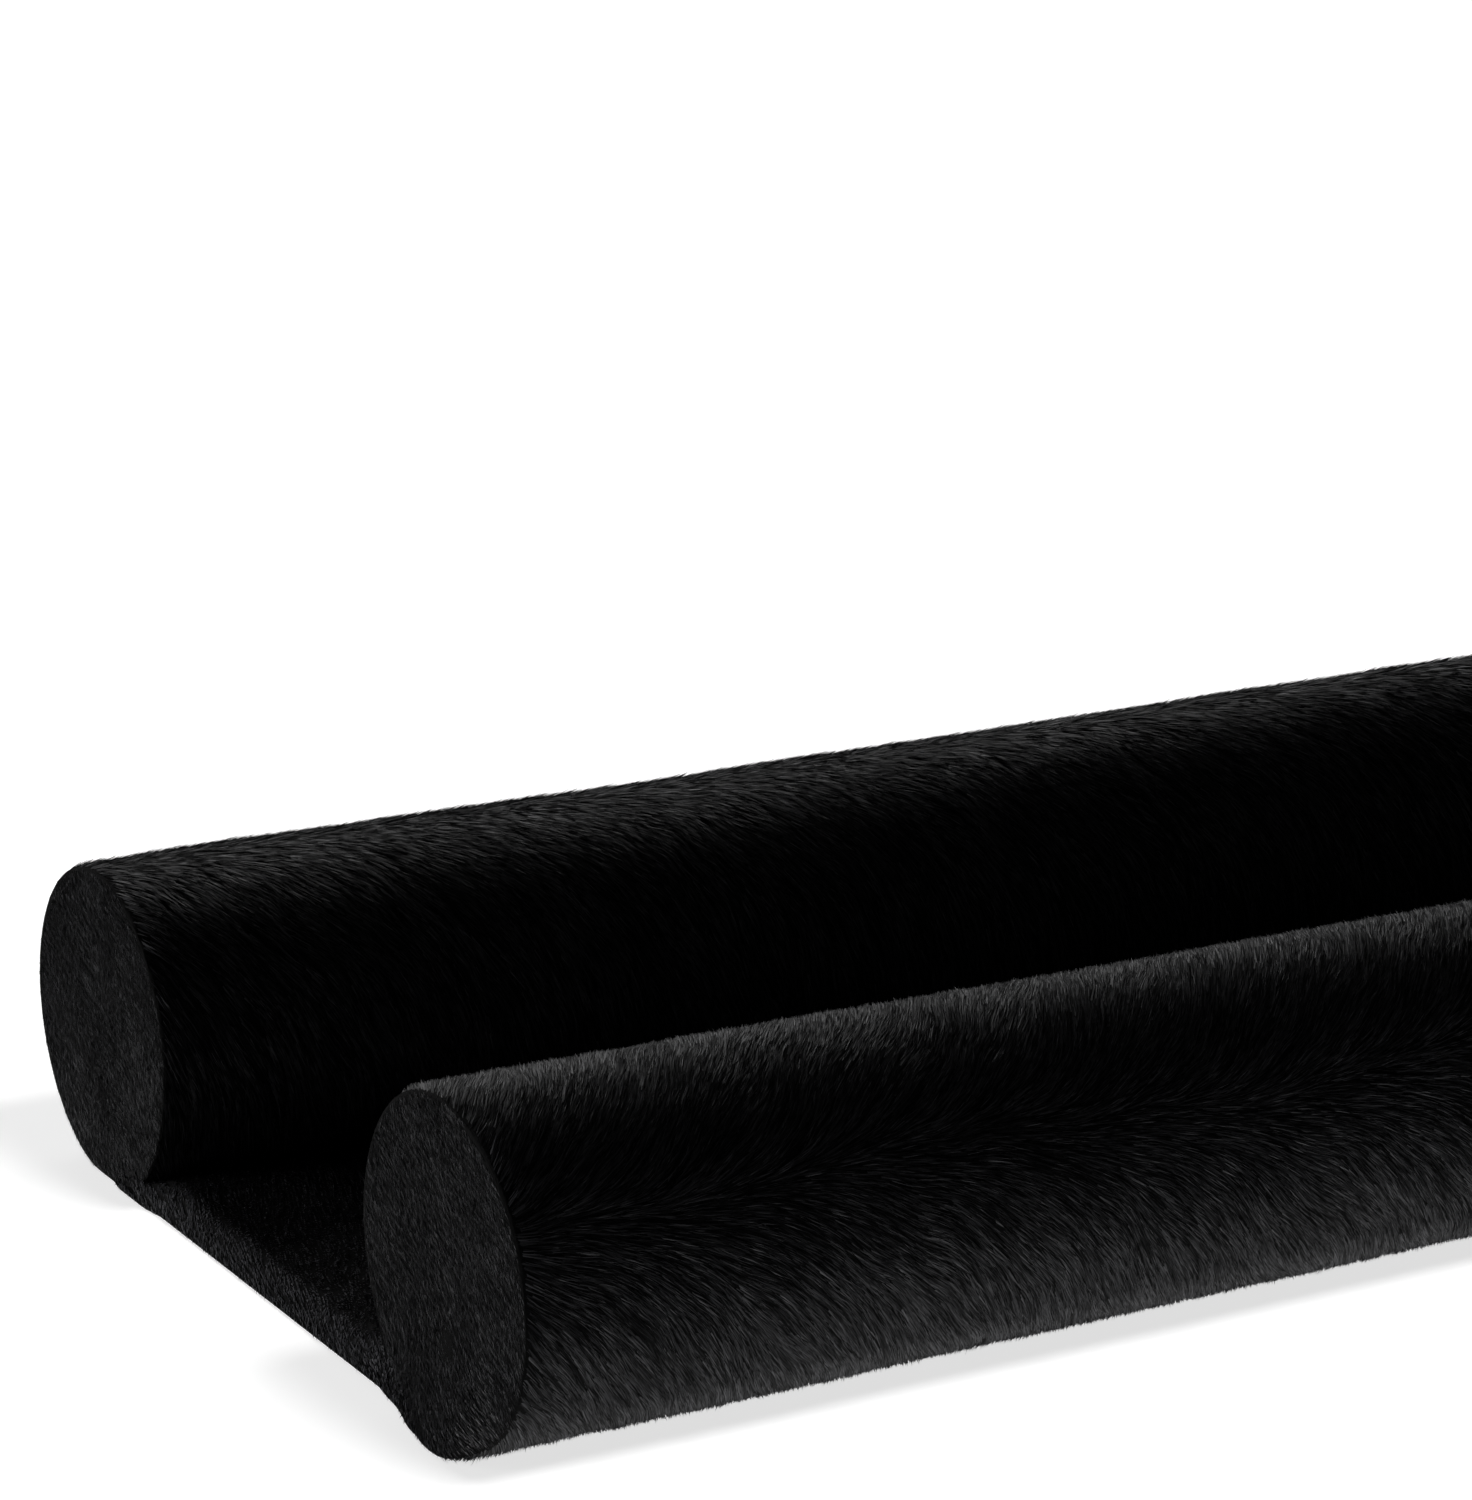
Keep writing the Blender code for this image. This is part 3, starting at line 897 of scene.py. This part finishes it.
class EXCLUDER_OT_stage(bpy.types.Operator):
    """Sets up the floor, the soft lights and the camera"""
    bl_idname = "excluder.stage"
    bl_label = "Stage"

    def execute(self, context):
        settings = context.scene.excluder_stage
        scene = context.scene
        scene.view_settings.view_transform = "Standard"
        bpy.ops.mesh.primitive_plane_add(size=24.0, location=(0.0, 0.0, 0.0))
        floor = context.object
        floor.name = "studio_floor"
        floor.data.materials.append(opal_floor(settings))
        # The bounce cards below the table stand in for the light that it would throw on the pile
        floor.visible_glossy = False
        floor.visible_diffuse = False
        floor.visible_shadow = False
        world = bpy.data.worlds.new("studio")
        scene.world = world
        world.use_nodes = True
        background = world.node_tree.nodes["Background"]
        background.inputs["Color"].default_value = (1.0, 1.0, 1.0, 1.0)
        background.inputs["Strength"].default_value = settings.fill_strength
        bpy.ops.mesh.primitive_uv_sphere_add(segments=64, ring_count=32, radius=11.0)
        backdrop = context.object
        backdrop.name = "studio_backdrop"
        backdrop.data.materials.append(backdrop_paper(settings))
        # Only the camera sees the backdrop, so it lights nothing
        backdrop.visible_diffuse = False
        backdrop.visible_glossy = False
        backdrop.visible_transmission = False
        backdrop.visible_shadow = False
        for name, place, aim, width, height, power in (
            ("back_softbox", (-0.10, 1.76, 1.32), (-0.20, 0.0, 0.0), 1.7, 1.2,
             settings.key_power),
            ("left_softbox", (-1.76, 0.66, 0.29), (-0.45, 0.0, 0.0), 0.8, 0.5,
             settings.side_power),
            ("right_softbox", (1.76, 0.66, 0.29), (0.45, 0.0, 0.0), 0.8, 0.5,
             settings.side_power),
            ("front_bounce_card", (0.0, -0.110, -0.01), (0.0, -0.110, 1.0), 1.3, 0.07,
             settings.bounce_power),
            ("back_bounce_card", (0.0, 0.110, -0.01), (0.0, 0.110, 1.0), 1.3, 0.07,
             settings.bounce_power),
            ("front_foot_card", (0.0, -0.0635, -0.004), (0.0, -0.0635, 1.0), 1.3, 0.012,
             settings.foot_power),
            ("back_foot_card", (0.0, 0.0635, -0.004), (0.0, 0.0635, 1.0), 1.3, 0.012,
             settings.foot_power),
        ):
            soft_light(scene, name, place, aim, width, height, power)
        # The top light is kept off the plush: it is there for the soft shade round its foot
        top = soft_light(scene, "top_softbox", (0.6, -1.9, 3.6), (-0.3, 0.0, 0.0), 1.2, 1.2,
                         settings.top_power)
        lit_by_top = bpy.data.collections.new("lit_by_top_softbox")
        lit_by_top.objects.link(floor)
        top.light_linking.receiver_collection = lit_by_top
        camera = bpy.data.cameras.new("camera")
        camera.lens = CAMERA_LENS
        camera.sensor_width = 36.0
        camera.clip_start = 0.01
        eye = bpy.data.objects.new("camera", camera)
        eye.location = CAMERA_PLACE
        eye.rotation_euler = Euler((
            math.radians(90.0 - CAMERA_DIP), 0.0, math.radians(CAMERA_TURN - 90.0)))
        scene.collection.objects.link(eye)
        scene.camera = eye
        return {"FINISHED"}


class EXCLUDER_OT_rolls(bpy.types.Operator):
    """Makes the two filled rolls with their pile"""
    bl_idname = "excluder.rolls"
    bl_label = "Rolls"

    def execute(self, context):
        plush = context.scene.excluder_plush
        layout = context.scene.excluder_rolls
        ground = ground_cloth("roll_ground_cloth", plush)
        pile = combed_pile("roll_combed_pile", plush, 0.42)
        for side, node in ((FRONT, "front_roll"), (BACK, "back_roll")):
            surface = roll_surface(node, side, layout)
            sleeve = sleeve_piece(f"{node}_sleeve", surface, ground, side == BACK)
            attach(sleeve, "root")
            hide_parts(node)
            middles = (surface.along[1:] + surface.along[:-1]) / 2
            turns = np.degrees((surface.turns[1:] + surface.turns[:-1]) / 2)
            facing = turns if side == FRONT else 180.0 - turns
            shown = eased(facing, -88.0, -72.0) * (1 - eased(facing, 112.0, 130.0))
            shown = shown * (1.0 if side == FRONT else 0.45)
            density = density_for(middles[:, None], shown[None, :], plush)
            under = (turns < -84.0) | (turns > 264.0)
            density[:, under] *= 0.4
            places = middles + HALF_LENGTH
            for k, (start, end) in enumerate(PILE_PARTS):
                chosen = (places >= start) & (places < end)
                piece = leaves(
                    f"{node}_pile_{k + 1}", surface, comb_roll(side),
                    np.where(chosen[:, None], density, 0.0), pile, plush,
                    seed=100 + 10 * side + k)
                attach(piece, "root")
        return {"FINISHED"}


class EXCLUDER_OT_web(bpy.types.Operator):
    """Makes the flat web under the door with its pile"""
    bl_idname = "excluder.web"
    bl_label = "Web"

    def execute(self, context):
        plush = context.scene.excluder_plush
        layout = context.scene.excluder_rolls
        surface = web_surface(layout)
        ground = ground_cloth("web_ground_cloth", plush)
        pile_finish = combed_pile("web_combed_pile", plush, 0.52, 0.5)
        cloth = sheet_piece("web_cloth", surface, 0.03 * MM, ground)
        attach(cloth, "root")
        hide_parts("web")
        middles = (surface.points[1:, 0, 0] + surface.points[:-1, 0, 0]) / 2
        beside = np.abs((surface.points[0, 1:, 1] + surface.points[0, :-1, 1]) / 2)
        from_end = middles + HALF_LENGTH
        fine = 1 - 0.6 * eased(from_end, 20 * MM, 40 * MM) - 0.3 * eased(
            from_end, 150 * MM, 190 * MM)
        density = 0.7 * plush.near_density / MM ** 2 * fine[:, None] * np.ones(len(beside))
        tucked_under = (beside > 37.5 * MM)[None, :] & (
            np.abs(middles) < HALF_LENGTH - 4 * MM)[:, None]
        density[tucked_under] = 0.0
        pile = leaves("web_pile", surface, comb_flat(WEB_NAP, (0.0, 0.0, 1.0)), density,
                      pile_finish, plush, seed=300, short=0.5, raised=1.7, thin=0.9,
                      bare=tucked_under)
        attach(pile, "root")
        return {"FINISHED"}


class EXCLUDER_OT_end_panels(bpy.types.Operator):
    """Makes the four round end panels with their pile"""
    bl_idname = "excluder.end_panels"
    bl_label = "End panels"

    def execute(self, context):
        plush = context.scene.excluder_plush
        layout = context.scene.excluder_rolls
        ground = ground_cloth("panel_ground_cloth", plush)
        pile_finish = combed_pile("panel_combed_pile", plush, 0.52)
        for side, side_name in ((FRONT, "front"), (BACK, "back")):
            for end, end_name in ((LEFT, "left"), (RIGHT, "right")):
                node = f"end_panel_{side_name}_{end_name}"
                surface = panel_surface(node, side, end, layout)
                cloth = panel_piece(f"{node}_cloth", surface, ground, side * end > 0)
                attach(cloth, "root")
                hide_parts(node)
                fineness = 1.9 if end == LEFT else 0.5
                density = fineness * plush.near_density / MM ** 2 * np.ones(surface.cells().shape)
                # The pile is combed off the rim on one side, where none grows, and onto it opposite
                ahead = surface.points[-1, :-1, 1] < side * ROLL_OFFSET - 0.3 * ROLL_RADIUS
                rim = np.zeros(density.shape, dtype=bool)
                rim[-3:] = True
                rim[-4:, ahead] = True
                density[rim] = 0.0
                pile = leaves(f"{node}_pile", surface, comb_flat(PANEL_NAP, (end, 0.0, 0.0)),
                              density, pile_finish, plush, seed=400 + 10 * side + end,
                              short=0.5, raised=1.5, thin=0.75, bare=rim)
                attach(pile, "root")
        return {"FINISHED"}


class EXCLUDER_PT_sidebar(bpy.types.Panel):
    """Lists the steps that make the draught excluder"""
    bl_idname = "EXCLUDER_PT_sidebar"
    bl_label = "Draught excluder"
    bl_space_type = "VIEW_3D"
    bl_region_type = "UI"
    bl_category = "Excluder"

    def draw(self, context):
        column = self.layout.column(align=True)
        for step in ("stage", "rolls", "web", "end_panels"):
            column.operator(f"excluder.{step}")
        for settings in (context.scene.excluder_plush, context.scene.excluder_rolls,
                         context.scene.excluder_stage):
            box = self.layout.box()
            for name in settings.__annotations__:
                box.prop(settings, name)


CLASSES = (
    PlushSettings,
    RollSettings,
    StageSettings,
    EXCLUDER_OT_stage,
    EXCLUDER_OT_rolls,
    EXCLUDER_OT_web,
    EXCLUDER_OT_end_panels,
    EXCLUDER_PT_sidebar,
)


def register():
    for each in CLASSES:
        bpy.utils.register_class(each)
    bpy.types.Scene.excluder_plush = PointerProperty(type=PlushSettings)
    bpy.types.Scene.excluder_rolls = PointerProperty(type=RollSettings)
    bpy.types.Scene.excluder_stage = PointerProperty(type=StageSettings)


def unregister():
    del bpy.types.Scene.excluder_stage
    del bpy.types.Scene.excluder_rolls
    del bpy.types.Scene.excluder_plush
    for each in reversed(CLASSES):
        bpy.utils.unregister_class(each)


def main():
    register()
    bpy.ops.excluder.stage()
    bpy.ops.excluder.rolls()
    bpy.ops.excluder.web()
    bpy.ops.excluder.end_panels()


if __name__ == "__main__":
    main()
